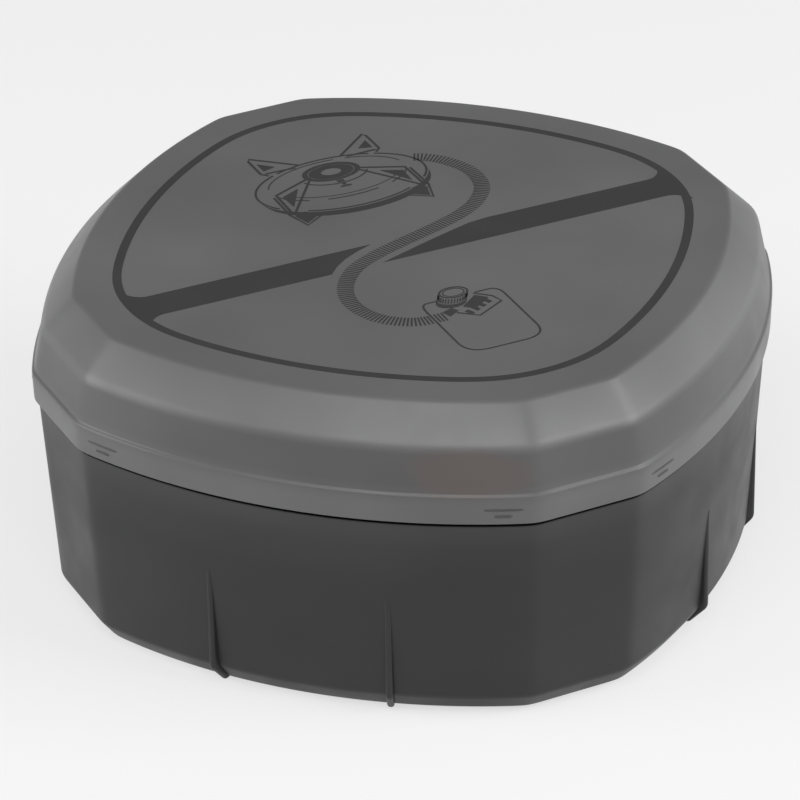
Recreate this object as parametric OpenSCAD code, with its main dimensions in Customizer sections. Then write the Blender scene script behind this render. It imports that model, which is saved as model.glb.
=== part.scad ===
// Compact gas camping stove, packed in its moulded carrying case.
// Millimetres, +Z up. The origin is under the middle of the case, on the ground.
// Front is -Y. Azimuths are measured from +X, anticlockwise seen from above.

/* [Case] */
// Width of the closed case over the skirt of its lid
case_w = 240; // [236:1:246]
// Height of the closed case over its foot ribs
case_h = 113; // [112:0.5:120]
// Height of the parting line between base and lid
parting_z = 76.5; // [74:0.5:78]
// Wall of the base
base_wall = 2; // [1.6:0.1:2.2]
// Wall of the lid
lid_wall = 1.8; // [1.4:0.1:2]
// How far a foot rib stands out past the drafted wall
rib_proud = 2.4; // [1:0.1:3]
// Azimuth of the two foot ribs of each side, to left and right of its middle
rib_az = 15; // [12:0.5:20]

/* [Stove] */
// Radius of the drip tray over its rim
tray_r = 80; // [78:0.5:80]
// Radius of the circle on which the four leg posts stand
post_circle = 84; // [84:0.5:86]
// Height of the pot line over the feet of the stove
pot_h = 76; // [72:1:80]
// Reach of a pot support from its post
arm_reach = 53; // [46:1:54]
// Thickness of the pot support sheet
arm_t = 1.6; // [1.2:0.1:2]
// Radius of the burner head
burner_r = 30; // [28:0.5:31]
// Gas ports around the burner head
ports = 24; // [16:2:28]

/* [Gas line] */
// Diameter over the hose
hose_d = 9; // [8:0.5:9.5]
// Azimuth of the gas inlet tube under the tray
inlet_az = 15; // [12:1:18]
// Radius of the control knob
knob_r = 15; // [13:0.5:15.5]
// Grip flutes around the knob
knob_flutes = 18; // [12:1:20]
// Plain bore of the cartridge connector, near the pitch diameter of its uncut thread
connector_bore = 10.6; // [10.4:0.1:11]

/* [Hidden] */
$fn = 48;

// Case: levels over the ground. Each has the distance from the middle to the middle of a side.
skirt_a = case_w / 2;
bulge_c = 84;                      // arc centres lie this far past the middle, for every level
corner_d = 9;                      // the chamfers stand this much further out than the sides
blend = 2;                         // sharpness of the blend between an arc and a chamfer
rib_drop = 1;                      // the foot ribs reach this much lower than the base
rib_t = 2.4;
rib_top = 50;
chamfer_z = 7.8;
ledge_z = parting_z - 0.4;
rim_z = parting_z + 9;
skirt_z = parting_z + 10;
ridge_z = case_h - 11;
wall_a = [skirt_a - 5.8, skirt_a - 1.8];   // outer wall of the base, low and high
bottom_a = skirt_a - 10.7;
rim_a = skirt_a - 3;
floor_z = rib_drop + 2.2;

// Stove: heights over the ground
stove_z = floor_z + 0.3;
pot_z = stove_z + pot_h;
tray_t = 1;
tray_z = 23;
tray_rim_z = 36;
ring_z = 28;                       // underside of the flat ring that carries the brackets
gas_z = 13;                        // axis of the mixing tube
post_r = 2.5;
fit = 0.06;                        // running clearance of a turning pin, on the radius
eye_t = 1.6;
eye_high = ring_z;                 // top of the upper eye
eye_low = ring_z - 10.4;           // top of the lower eye
sleeve_r = 3.5;
bracket_w = 14;
rivet_at = 66;
rivet_r = 1.5;
burner_z = 57;
head_z = 50.5;
cap_r = 11;
flange_t = 2.5;
screw_at = 17;
screw_r = 1.5;
neck_r = 12;
tube_r = 8;
igniter_az = 225;
electrode_at = 38;                 // radius at which the electrode stands
insulator_r = 3;
clamp_at = 65;
clamp_t = 1.2;
piezo_z = 17;
piezo_end = 76;                    // radius at which the igniter's housing ends
button_r = 3.6;
button_travel = 5;

// Valve unit: it stands beside the tray, over the low run of the hose
valve_at = [52, -88];
port_az = 195;
port_z = 55;
collar_z = [26, 42];
valve_top = 74;
knob_z = [83.5, 99.5];
spindle_r = 2.5;
nut_af = 14;

// Hose: the route of its middle line from the stove inlet to the valve port
hose_r = hose_d / 2;
hose_sides = 10;
hose_steps = 3;
hose_points = [
    [57.7, 32, 13], [55.7, 39.3, 13], [53.8, 46.5, 13], [51, 57, 13], [47, 68, 12.5],
    [40, 80.5, 11.5], [28, 92.5, 10], [12, 100, 9], [-6, 101.5, 8.6], [-24, 98.5, 8.6],
    [-41, 92.5, 8.6], [-58, 83, 8.6], [-73, 70.5, 8.6], [-86, 53.5, 8.6], [-95.5, 34.5, 8.6],
    [-100.5, 14, 8.6], [-101, -7, 8.6], [-97.5, -28, 9], [-90, -47, 11.5], [-79.5, -63, 17.5],
    [-66, -77, 26.5], [-50, -88.5, 36.5], [-32, -97, 46], [-14, -101.2, 52.4], [0, -101.2, 54.7],
    [14.3, -98.1, 55], [22.5, -95.9, 55], [29.8, -94, 55]
];
lead_r = 1.1;
lead_points = [[50, 17], [46.5, 16.8], [43, 15.2], [40.2, 14], [38.3, 14.8], [38, 16.6], [38, 18.4]];

// ---- outline of the case ---------------------------------------------------------------

// Azimuths of the points of one ring: close together where an arc meets a chamfer.
octant = [0, 9, 18, 27, 33, 35.8, 37.6, 40.5];
ring_az = [for (q = [0:3], s = [0, 1], i = [0:7])
    90 * q + (s == 0 ? octant[i] : 90 - (i == 0 ? 45 : octant[8 - i]))];

// Distance from the middle to the outline, at azimuth az, of a level whose sides are at a.
function side_r(az, a, c) = -c * cos(az) + sqrt(pow(a + c, 2) - pow(c * sin(az), 2));
function fold(az) = let (m = az % 90) min(m, 90 - m);
function outline_r(az, a, d) = let (
    t = fold(az),
    arc = side_r(t, a, bulge_c),
    cut = d / cos(45 - t))
    min(arc, cut) - ln(1 + exp(-blend * abs(arc - cut))) / blend;
function ring(level) = [for (az = ring_az)
    let (r = outline_r(az, level[0], level[0] + corner_d)) [r * cos(az), r * sin(az), level[1]]];

// A closed solid through rings of points, all with the same count, flat at both ends.
module loft(rings) {
    n = len(rings[0]);
    m = len(rings);
    polyhedron(
        points = [for (r = rings, p = r) p],
        faces = concat(
            [[for (i = [0:n - 1]) i]],
            [[for (i = [n - 1:-1:0]) (m - 1) * n + i]],
            [for (j = [0:m - 2], i = [0:n - 1]) [j * n + i, (j + 1) * n + i, j * n + (i + 1) % n]],
            [for (j = [0:m - 2], i = [0:n - 1])
                [(j + 1) * n + i, (j + 1) * n + (i + 1) % n, j * n + (i + 1) % n]]));
}

// A moulding wall as one closed solid, through levels of [distance to a side, height].
module shell(levels) {
    loft([for (level = levels) ring(level)]);
}

// ---- helpers ---------------------------------------------------------------------------

module pipe(ro, ri, h) {
    difference() {
        cylinder(r = ro, h = h);
        translate([0, 0, -1]) cylinder(r = ri, h = h + 2);
    }
}

module hexagon(af, h) {
    cylinder(r = af / sqrt(3), h = h, $fn = 6);
}

// Sends what is built on +Z out along azimuth az, from a point at height z.
module out(az, z, at = [0, 0]) {
    translate([at[0], at[1], z]) rotate([0, 0, az]) rotate([0, 90, 0]) children();
}

function reversed(list) = [for (i = [len(list) - 1:-1:0]) list[i]];
function unit(v) = v / norm(v);

// Points of a smooth curve through a list of points.
function on_curve(p, i, t) = let (
    a = p[max(i - 1, 0)],
    b = p[i],
    c = p[i + 1],
    d = p[min(i + 2, len(p) - 1)])
    0.5 * (2 * b + (c - a) * t + (2 * a - 5 * b + 4 * c - d) * t * t + (3 * b - a - 3 * c + d) * t * t * t);
function curve(p, steps) = concat(
    [for (i = [0:len(p) - 2], s = [0:steps - 1]) on_curve(p, i, s / steps)],
    [p[len(p) - 1]]);

// A round tube swept along a path that never runs straight up.
module sweep(path, r, sides) {
    last = len(path) - 1;
    loft([for (i = [0:last]) let (
        t = unit(path[min(i + 1, last)] - path[max(i - 1, 0)]),
        u = unit(cross([0, 0, 1], t)),
        v = cross(t, u))
        [for (k = [0:sides - 1]) path[i] - r * cos(360 * k / sides) * u + r * sin(360 * k / sides) * v]]);
}

// ---- case ------------------------------------------------------------------------------

// One foot rib in the plane of its own blade: upright outside, then turned in under the chamfer.
module foot_rib() {
    outer = wall_a[0] + rib_proud;
    tip = bottom_a + 0.7;
    rotate([90, 0, 0]) translate([0, 0, -rib_t / 2]) linear_extrude(rib_t)
        polygon([
            [tip - 2.1, 0], [tip, 0], [outer, chamfer_z - 0.2], [outer, rib_top - 4],
            [outer - 1.2, rib_top], [wall_a[0] - 1.2, chamfer_z + 0.4], [bottom_a - 0.3, floor_z - 1.3],
            [tip - 2.1, floor_z - 1.3]]);
}

module case_base() {
    set_out = side_r(rib_az, wall_a[0], bulge_c) - wall_a[0];
    color([0.30, 0.31, 0.33]) {
        shell([
            [bottom_a, rib_drop],
            [wall_a[0], chamfer_z],
            [wall_a[1], ledge_z],
            [rim_a, ledge_z],
            [rim_a, rim_z],
            [rim_a - base_wall, rim_z],
            [wall_a[1] - base_wall - 0.8, ledge_z - 3],
            [wall_a[0] - base_wall, chamfer_z + 1.2],
            [bottom_a - 1, floor_z]]);
        for (q = [0:3], s = [-1, 1])
            rotate([0, 0, 90 * q + s * rib_az]) translate([set_out, 0, 0]) foot_rib();
    }
}

module case_lid() {
    color([0.45, 0.46, 0.48]) shell([
        [skirt_a - 15.6, case_h - lid_wall],
        [skirt_a - 4.6 - lid_wall, ridge_z + 0.8 - lid_wall / 2],
        [skirt_a - 1 - lid_wall, skirt_z + 1],
        [rim_a + 0.45, rim_z + 0.3],
        [rim_a + 0.45, parting_z],
        [skirt_a - 0.3, parting_z],
        [skirt_a, skirt_z],
        [skirt_a - 0.9, skirt_z + 0.5],
        [skirt_a - 3.3, ridge_z - 1.4],
        [skirt_a - 4.6, ridge_z + 0.8],
        [skirt_a - 14.3, case_h - 0.7],
        [skirt_a - 15.6, case_h]]);
}

// ---- tray and its brackets -------------------------------------------------------------

// The tray is pressed from sheet: the underside's corners, from the neck hole to the rim.
tray_line = [
    [neck_r, tray_z], [43, tray_z], [45.5, 25.5], [57, 25.5], [60, ring_z], [71, ring_z],
    [tray_r - 1.5, tray_rim_z - 1.5], [tray_r, tray_rim_z - 1.5]];

module drip_tray() {
    color([0.78, 0.78, 0.76]) difference() {
        rotate_extrude() polygon(concat(
            tray_line,
            [[tray_r, tray_rim_z - 1.5 + tray_t]],
            reversed([for (i = [0:len(tray_line) - 2]) tray_line[i] + [0, tray_t]])));
        at_sides() rivet_places() translate([0, 0, ring_z - 1]) cylinder(r = rivet_r, h = 3);
        at_screws() translate([0, 0, tray_z - 1]) cylinder(r = screw_r, h = 3);
        rotate([0, 0, igniter_az]) translate([electrode_at, 0, tray_z - 1]) cylinder(r = insulator_r, h = 3);
        rotate([0, 0, igniter_az]) translate([clamp_at, 0, ring_z - 1]) cylinder(r = rivet_r, h = 3);
    }
}

// Places what is built on the +X side at all four sides.
module at_sides() {
    for (q = [0:3]) rotate([0, 0, 90 * q]) children();
}

module rivet_places() {
    for (s = [-1, 1]) translate([rivet_at, s * 4, 0]) children();
}

// The three screws that hold the burner casting down on the tray.
module at_screws() {
    for (k = [0:2]) rotate([0, 0, 120 * k + 75]) translate([screw_at, 0, 0]) children();
}

// A channel of sheet with two eyes, in which a leg post turns.
module hinge_bracket() {
    depth = post_circle + 4.5;
    difference() {
        union() {
            translate([62, -bracket_w / 2, eye_high - eye_t]) cube([depth - 62, bracket_w, eye_t]);
            translate([73, -bracket_w / 2, eye_low - eye_t]) cube([depth - 73, bracket_w, eye_t]);
            translate([73, -bracket_w / 2, eye_low - eye_t])
                cube([eye_t, bracket_w, eye_high - eye_low + eye_t]);
        }
        translate([post_circle, 0, 0]) cylinder(r = post_r + fit, h = eye_high + 1);
        rivet_places() cylinder(r = rivet_r, h = eye_high + 1);
    }
}

module hinge_brackets() {
    color([0.62, 0.63, 0.65]) at_sides() hinge_bracket();
}

module rivet(grip) {
    translate([0, 0, -grip]) cylinder(r = rivet_r, h = grip + tray_t);
    translate([0, 0, tray_t]) cylinder(r1 = 2.6, r2 = 1.6, h = 1);
    translate([0, 0, -grip - 0.8]) cylinder(r = 2.4, h = 0.8);
}

module bracket_rivets() {
    color([0.7, 0.7, 0.7]) {
        at_sides() rivet_places() translate([0, 0, ring_z]) rivet(eye_t);
        rotate([0, 0, igniter_az]) translate([clamp_at, 0, ring_z]) rivet(clamp_t);
    }
}

module tray_screws() {
    color([0.75, 0.75, 0.77]) at_screws() {
        translate([0, 0, tray_z]) cylinder(r = screw_r, h = tray_t + flange_t);
        translate([0, 0, tray_z - 2]) difference() {
            cylinder(r = 3, h = 2);
            translate([-4, -0.4, -1]) cube([8, 0.8, 1.8]);
        }
    }
}

// ---- burner ----------------------------------------------------------------------------

module burner_body() {
    base = tray_z + tray_t;
    color([0.55, 0.56, 0.57]) difference() {
        rotate_extrude() polygon([
            [0, 4.6], [neck_r, 4.6], [neck_r, base], [20, base], [20, base + flange_t],
            [14, base + flange_t], [15, 33], [burner_r - 1, 45], [burner_r - 1, head_z],
            [burner_r - 3, head_z], [burner_r - 3, 46], [12, 34.5], [9.5, 31], [9.5, 7], [0, 7]]);
        out(inlet_az, gas_z) cylinder(r = tube_r - 1.6, h = neck_r + 2);
        at_screws() translate([0, 0, base - 1]) cylinder(r = screw_r, h = flange_t + 2);
    }
}

// The head covers the cup; its ports open sideways under the crown.
module burner_head() {
    color([0.72, 0.66, 0.50]) difference() {
        rotate_extrude() polygon([
            [cap_r - 7, head_z + 3], [burner_r - 5, head_z + 3], [burner_r - 5, head_z - 3],
            [burner_r - 3, head_z - 3], [burner_r - 3, head_z], [burner_r, head_z],
            [burner_r, burner_z - 1.5], [burner_r - 2, burner_z], [burner_r - 11, burner_z - 0.6],
            [cap_r, burner_z - 1.6], [cap_r - 7, burner_z - 1.6]]);
        for (k = [0:ports - 1]) rotate([0, 0, 360 * (k + 0.5) / ports])
            translate([burner_r - 6, -0.6, head_z + 0.8]) cube([8, 1.2, 2.2]);
    }
}

module burner_cap() {
    color([0.85, 0.85, 0.83]) {
        translate([0, 0, burner_z - 1.6]) cylinder(r1 = cap_r, r2 = cap_r - 1, h = 2);
        translate([0, 0, head_z + 2]) cylinder(r = cap_r - 7.1, h = burner_z - head_z - 3.6);
    }
}

// ---- gas inlet -------------------------------------------------------------------------

module mixing_tube() {
    color([0.62, 0.63, 0.65]) difference() {
        out(inlet_az, gas_z) pipe(tube_r, tube_r - 1.6, 52);
        cylinder(r = neck_r, h = 30);
        for (s = [-1, 1]) rotate([0, 0, inlet_az])
            translate([34, s * tube_r - 3, gas_z - 3]) cube([8, 6, 6]);
    }
}

module jet_holder() {
    color([0.80, 0.66, 0.32]) difference() {
        union() {
            out(inlet_az, gas_z) translate([0, 0, 44]) cylinder(r = tube_r - 1.6, h = 8);
            out(inlet_az, gas_z) translate([0, 0, 52]) hexagon(nut_af, 5);
        }
        out(inlet_az, gas_z) translate([0, 0, 43]) cylinder(r = 2.5, h = 15);
    }
}

module jet_nipple() {
    color([0.86, 0.72, 0.36]) difference() {
        out(inlet_az, gas_z) {
            translate([0, 0, 44]) cylinder(r = 2.5, h = 6);
            translate([0, 0, 40.5]) cylinder(r1 = 1.6, r2 = 3, h = 3.5);
        }
        out(inlet_az, gas_z) translate([0, 0, 40]) cylinder(r = 0.5, h = 11);
    }
}

elbow_at = [64 * cos(inlet_az), 64 * sin(inlet_az)];

module inlet_elbow() {
    color([0.80, 0.66, 0.32]) difference() {
        union() {
            out(inlet_az, gas_z) translate([0, 0, 57]) cylinder(r = 4.6, h = 8);
            out(inlet_az, gas_z) translate([0, 0, 52]) cylinder(r = 2.5, h = 6);
            out(inlet_az + 90, gas_z, elbow_at) translate([0, 0, -4.6]) cylinder(r = 4.6, h = 18);
        }
        out(inlet_az, gas_z) translate([0, 0, 51]) cylinder(r = 1.6, h = 13);
        out(inlet_az + 90, gas_z, elbow_at) translate([0, 0, -1.6]) cylinder(r = 1.6, h = 18);
    }
}

// A union nut over a spigot of radius 4.6.
module union_nut() {
    difference() {
        hexagon(nut_af, 8);
        translate([0, 0, -1]) cylinder(r = 4.7, h = 7);
        translate([0, 0, 5]) cylinder(r = hose_r + 0.15, h = 4);
    }
}

module ferrule() {
    difference() {
        union() {
            cylinder(r = 6.2, h = 15);
            for (z = [3, 8]) translate([0, 0, z]) cylinder(r = 6.5, h = 2.4);
        }
        translate([0, 0, -1]) cylinder(r = hose_r + 0.15, h = 17);
    }
}

module inlet_nut() {
    color([0.80, 0.66, 0.32]) out(inlet_az + 90, gas_z, elbow_at) translate([0, 0, 8]) union_nut();
}

module inlet_ferrule() {
    color([0.72, 0.72, 0.72]) out(inlet_az + 90, gas_z, elbow_at) translate([0, 0, 16]) ferrule();
}

module gas_hose() {
    color([0.12, 0.12, 0.13]) sweep(curve(hose_points, hose_steps), hose_r, hose_sides);
}

// ---- igniter ---------------------------------------------------------------------------

module piezo_housing() {
    color([0.15, 0.15, 0.16]) difference() {
        out(igniter_az, piezo_z) translate([0, 0, 50]) cylinder(r = 6, h = piezo_end - 50);
        out(igniter_az, piezo_z) translate([0, 0, piezo_end - 12]) cylinder(r = button_r + 0.1, h = 14);
        out(igniter_az, piezo_z) translate([0, 0, 49]) cylinder(r = lead_r, h = 1.5);
    }
}

// A sheet saddle that holds the igniter up against the flat ring of the tray.
module piezo_clamp() {
    color([0.62, 0.63, 0.65]) rotate([0, 0, igniter_az]) difference() {
        union() {
            translate([clamp_at - 4, -4, ring_z - clamp_t]) cube([8, 8, clamp_t]);
            translate([clamp_at - 4, -1, piezo_z + 6]) cube([8, 2, ring_z - clamp_t - piezo_z - 6]);
            translate([clamp_at - 4, 0, piezo_z]) rotate([0, 90, 0]) cylinder(r = 7.2, h = 8);
        }
        translate([clamp_at - 5, 0, piezo_z]) rotate([0, 90, 0]) cylinder(r = 6, h = 10);
        translate([clamp_at, 0, piezo_z + 7.2 + 0.8]) cylinder(r = 3, h = ring_z - clamp_t - piezo_z - 8);
        translate([clamp_at, 0, ring_z - clamp_t - 1]) cylinder(r = rivet_r, h = clamp_t + 2);
    }
}

module piezo_button() {
    color([0.75, 0.12, 0.08]) {
        out(igniter_az, piezo_z) translate([0, 0, piezo_end - 6])
            cylinder(r = button_r, h = button_travel + 8);
        out(igniter_az, piezo_z) translate([0, 0, piezo_end + button_travel + 1])
            cylinder(r1 = 5, r2 = 4.4, h = 6);
    }
}

module electrode_insulator() {
    color([0.93, 0.92, 0.88]) rotate([0, 0, igniter_az]) translate([electrode_at, 0, 0]) {
        translate([0, 0, 21]) cylinder(r = insulator_r, h = 27);
        translate([0, 0, tray_z + tray_t]) cylinder(r = insulator_r + 1.2, h = 2);
    }
}

module electrode_tip() {
    color([0.70, 0.70, 0.70]) rotate([0, 0, igniter_az]) translate([electrode_at, 0, 0]) {
        translate([0, 0, 48]) cylinder(r = 0.9, h = 6.5);
        translate([0, 0, 53.6]) rotate([0, -90, 0]) cylinder(r = 0.9, h = 5.5);
        translate([0, 0, 18.5]) cylinder(r = lead_r, h = 2.5);
    }
}

// A clip of spring sheet under the tray, pushed on the insulator.
module electrode_clip() {
    color([0.70, 0.70, 0.72]) rotate([0, 0, igniter_az])
        translate([electrode_at, 0, tray_z - 0.8]) difference() {
            cylinder(r = insulator_r + 3, h = 0.8);
            translate([0, 0, -1]) cylinder(r = insulator_r, h = 3);
            translate([0, -0.5, -1]) cube([8, 1, 3]);
        }
}

module ignition_lead() {
    color([0.55, 0.10, 0.08]) rotate([0, 0, igniter_az]) sweep_upright(curve(
        [for (p = lead_points) [p[0], 0, p[1]]], 2), lead_r, 8);
}

// A tube swept along a path that stays in the XZ plane.
module sweep_upright(path, r, sides) {
    last = len(path) - 1;
    loft([for (i = [0:last]) let (
        t = unit(path[min(i + 1, last)] - path[max(i - 1, 0)]),
        v = [0, 1, 0],
        u = cross(v, t))
        [for (k = [0:sides - 1]) path[i] + r * cos(360 * k / sides) * u + r * sin(360 * k / sides) * v]]);
}

// ---- legs and pot supports -------------------------------------------------------------
// Each is built on the +X side and turned to its own. Packed away, the sheet lies along the
// tray's rim, towards -Y; in use it is turned inwards, over the tray.

module post() {
    translate([post_circle, 0, 0]) {
        translate([0, 0, stove_z + 2.5]) cylinder(r = post_r, h = pot_z - 1 - stove_z - 2.5);
        translate([0, 0, eye_low - eye_t - 0.3 - 1.6]) cylinder(r = 4, h = 1.6);
    }
}

module foot() {
    translate([post_circle, 0, stove_z]) difference() {
        cylinder(r1 = 5, r2 = 4.4, h = 10);
        translate([0, 0, 2.5]) cylinder(r = post_r, h = 10);
    }
}

module arm() {
    low = tray_rim_z + 2;
    translate([post_circle, 0, 0]) difference() {
        union() {
            translate([0, 0, eye_high + 0.3]) cylinder(r = sleeve_r, h = pot_z - 1 - eye_high - 0.3);
            rotate([90, 0, -90]) translate([0, 0, -arm_t / 2]) linear_extrude(arm_t) difference() {
                polygon([[0, low], [0, pot_z], [arm_reach - 3, pot_z], [arm_reach, pot_z - 3],
                    [arm_reach, pot_z - 9]]);
                offset(1.5) offset(-1.5)
                    polygon([[10, low + 14], [10, pot_z - 7], [arm_reach - 9, pot_z - 7]]);
            }
        }
        cylinder(r = post_r, h = pot_z - 1);
    }
}

module side(q) {
    rotate([0, 0, 90 * q]) children();
}

module post_right() { color([0.72, 0.73, 0.75]) side(0) post(); }
module post_back() { color([0.72, 0.73, 0.75]) side(1) post(); }
module post_left() { color([0.72, 0.73, 0.75]) side(2) post(); }
module post_front() { color([0.72, 0.73, 0.75]) side(3) post(); }
module arm_right() { color([0.68, 0.69, 0.71]) side(0) arm(); }
module arm_back() { color([0.68, 0.69, 0.71]) side(1) arm(); }
module arm_left() { color([0.68, 0.69, 0.71]) side(2) arm(); }
module arm_front() { color([0.68, 0.69, 0.71]) side(3) arm(); }
module foot_right() { color([0.10, 0.10, 0.10]) side(0) foot(); }
module foot_back() { color([0.10, 0.10, 0.10]) side(1) foot(); }
module foot_left() { color([0.10, 0.10, 0.10]) side(2) foot(); }
module foot_front() { color([0.10, 0.10, 0.10]) side(3) foot(); }

// ---- valve unit ------------------------------------------------------------------------

module at_valve() {
    translate([valve_at[0], valve_at[1], 0]) children();
}

module valve_ferrule() {
    color([0.72, 0.72, 0.72]) out(port_az, port_z, valve_at) translate([0, 0, 23]) ferrule();
}

module valve_nut() {
    color([0.80, 0.66, 0.32]) out(port_az, port_z, valve_at) translate([0, 0, 15]) union_nut();
}

module valve_body() {
    low = collar_z[1];
    color([0.80, 0.66, 0.32]) difference() {
        union() {
            at_valve() {
                translate([0, 0, low]) cylinder(r = 8, h = 24);
                for (k = [0:4]) translate([0, 0, low + 4 + 4.2 * k]) cylinder(r = 12, h = 2.2);
                translate([0, 0, low + 24]) cylinder(r = 7, h = valve_top - low - 24);
            }
            out(port_az, port_z, valve_at) cylinder(r = 6.4, h = 15);
            out(port_az, port_z, valve_at) cylinder(r = 4.6, h = 20.5);
        }
        at_valve() {
            translate([0, 0, low - 1]) cylinder(r = 1.5, h = 12);
            translate([0, 0, low + 10]) cylinder(r = spindle_r + fit, h = valve_top);
            translate([0, 0, valve_top - 3]) cylinder(r = 4.2, h = 5);
        }
        out(port_az, port_z, valve_at) cylinder(r = 1.6, h = 22);
    }
}

module spindle_seal() {
    color([0.08, 0.08, 0.08]) at_valve() translate([0, 0, valve_top - 3]) pipe(4.2, spindle_r + fit, 3);
}

module gland_nut() {
    color([0.80, 0.66, 0.32]) at_valve() translate([0, 0, valve_top]) difference() {
        hexagon(16, 6);
        translate([0, 0, -1]) cylinder(r = spindle_r + fit, h = 8);
    }
}

module connector_collar() {
    low = collar_z[0];
    color([0.80, 0.66, 0.32]) at_valve() difference() {
        translate([0, 0, low]) cylinder(r = 14, h = collar_z[1] - low);
        translate([0, 0, low - 1]) cylinder(r = connector_bore / 2, h = 13);
        translate([0, 0, low + 11]) cylinder(r = 6.4, h = 3);
        translate([0, 0, low + 13]) cylinder(r = 1.5, h = 4);
        for (k = [0:23]) rotate([0, 0, 15 * k])
            translate([14.3, 0, low + 2]) cylinder(r = 0.8, h = 9, $fn = 24);
    }
}

module connector_seal() {
    color([0.08, 0.08, 0.08]) at_valve() translate([0, 0, collar_z[0] + 12]) pipe(6.4, 3.4, 2);
}

module connector_pin() {
    color([0.86, 0.72, 0.36]) at_valve() difference() {
        union() {
            translate([0, 0, collar_z[0] + 11.2]) cylinder(r = 1.1, h = 2.8);
            translate([0, 0, collar_z[0] + 12.6]) cylinder(r = 3.4, h = 1.4);
        }
        translate([0, 0, collar_z[0] + 10]) cylinder(r = 0.5, h = 6);
    }
}

module valve_spindle() {
    color([0.75, 0.75, 0.77]) at_valve() {
        translate([0, 0, collar_z[1] + 14]) cylinder(r1 = 0.8, r2 = spindle_r, h = 4);
        translate([0, 0, collar_z[1] + 18]) cylinder(r = spindle_r, h = knob_z[1] - 5 - collar_z[1] - 18);
    }
}

module control_knob() {
    color([0.80, 0.16, 0.08]) at_valve() difference() {
        union() {
            translate([0, 0, knob_z[0]]) cylinder(r = knob_r, h = 14);
            translate([0, 0, knob_z[0] + 14]) cylinder(r1 = knob_r, r2 = knob_r - 2, h = 2);
        }
        for (k = [0:knob_flutes - 1]) rotate([0, 0, 360 * k / knob_flutes])
            translate([knob_r + 0.7, 0, knob_z[0] + 2]) cylinder(r = 1.5, h = 20, $fn = 24);
        translate([0, 0, knob_z[0] - 1]) cylinder(r = spindle_r, h = 12);
        translate([0, 0, knob_z[0] + 10]) cylinder(r = screw_r, h = 3);
        translate([0, 0, knob_z[0] + 12]) cylinder(r = 4, h = 5);
        translate([0, 0, knob_z[1] - 1.2]) cylinder(r = 9, h = 2);
    }
}

module knob_screw() {
    color([0.75, 0.75, 0.77]) at_valve() difference() {
        union() {
            translate([0, 0, knob_z[0] + 11]) cylinder(r = screw_r, h = 1);
            translate([0, 0, knob_z[0] + 12]) cylinder(r = 3, h = 1.8);
        }
        translate([-4, -0.4, knob_z[0] + 13]) cube([8, 0.8, 2]);
    }
}

module knob_cap() {
    color([0.85, 0.85, 0.85]) at_valve() translate([0, 0, knob_z[1] - 1.2]) cylinder(r = 9, h = 1.2);
}

case_base();
case_lid();
drip_tray();
hinge_brackets();
bracket_rivets();
tray_screws();
burner_body();
burner_head();
burner_cap();
mixing_tube();
jet_holder();
jet_nipple();
inlet_elbow();
inlet_nut();
inlet_ferrule();
gas_hose();
piezo_housing();
piezo_clamp();
piezo_button();
electrode_insulator();
electrode_tip();
electrode_clip();
ignition_lead();
post_right();
arm_right();
foot_right();
post_back();
arm_back();
foot_back();
post_left();
arm_left();
foot_left();
post_front();
arm_front();
foot_front();
valve_ferrule();
valve_nut();
valve_body();
gland_nut();
spindle_seal();
connector_collar();
connector_seal();
connector_pin();
valve_spindle();
control_knob();
knob_screw();
knob_cap();
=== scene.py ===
"""Looks of a compact gas stove that is packed in its moulded smoke-grey carrying case.

Lengths are in millimetres until a mesh is made, and the row frame is the case's own: +Z up, the
front is -Y and the origin is under the middle of the case.
"""

from __future__ import annotations

import logging
import math
from dataclasses import dataclass, field
from enum import Enum
from typing import Sequence

import bmesh
import bpy
import numpy as np
from mathutils import Matrix, Vector

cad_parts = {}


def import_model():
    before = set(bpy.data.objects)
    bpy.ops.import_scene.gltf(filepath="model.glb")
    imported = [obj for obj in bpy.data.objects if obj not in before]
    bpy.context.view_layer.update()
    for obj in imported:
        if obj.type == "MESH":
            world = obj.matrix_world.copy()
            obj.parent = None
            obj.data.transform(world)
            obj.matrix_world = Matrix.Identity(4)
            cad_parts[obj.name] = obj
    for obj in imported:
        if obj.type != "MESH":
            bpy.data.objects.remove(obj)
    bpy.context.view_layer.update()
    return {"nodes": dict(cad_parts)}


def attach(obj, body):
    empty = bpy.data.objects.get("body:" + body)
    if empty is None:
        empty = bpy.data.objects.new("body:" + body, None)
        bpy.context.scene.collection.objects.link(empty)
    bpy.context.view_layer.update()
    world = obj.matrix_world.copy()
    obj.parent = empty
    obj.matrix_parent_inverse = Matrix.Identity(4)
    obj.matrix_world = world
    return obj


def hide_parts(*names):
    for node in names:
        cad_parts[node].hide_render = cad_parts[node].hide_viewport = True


LOG = logging.getLogger("camping_stove")
MM = 0.001

Array = np.ndarray
Colour = tuple[float, float, float]
Material = bpy.types.Material
Piece = bpy.types.Object
Socket = bpy.types.NodeSocket

# Painted light and shade on the smoke-grey plastic by height, as (millimetres over the ground,
# factor of its tint):
# painted shade at the cut-back bottom, lighter towards the top of the wall, a painted shadow line
# under the lid, and painted light where walls lie double.
BASE_PAINTED_SHADING = (
    (0.0, 0.35), (7.2, 0.4), (8.2, 0.9), (52.0, 0.95), (66.0, 1.25),
    (74.5, 1.9), (74.9, 0.1), (76.4, 0.1), (77.0, 1.9), (86.0, 1.9),
)
# Painted light and shade on the lid by height, as (millimetres over the ground, factor of its
# tint): painted light on the skirt where the base's rim lies behind it, painted shade on the wall,
# and a painted sheen on the sloped shoulder.
LID_PAINTED_SHADING = (
    (76.0, 1.05), (83.0, 1.08), (90.0, 0.78), (99.5, 0.80),
    (102.5, 1.3), (112.0, 1.2), (113.1, 1.0),
)
PLAIN_SHADES = ((76.0, 1.0), (86.0, 1.0))

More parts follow.
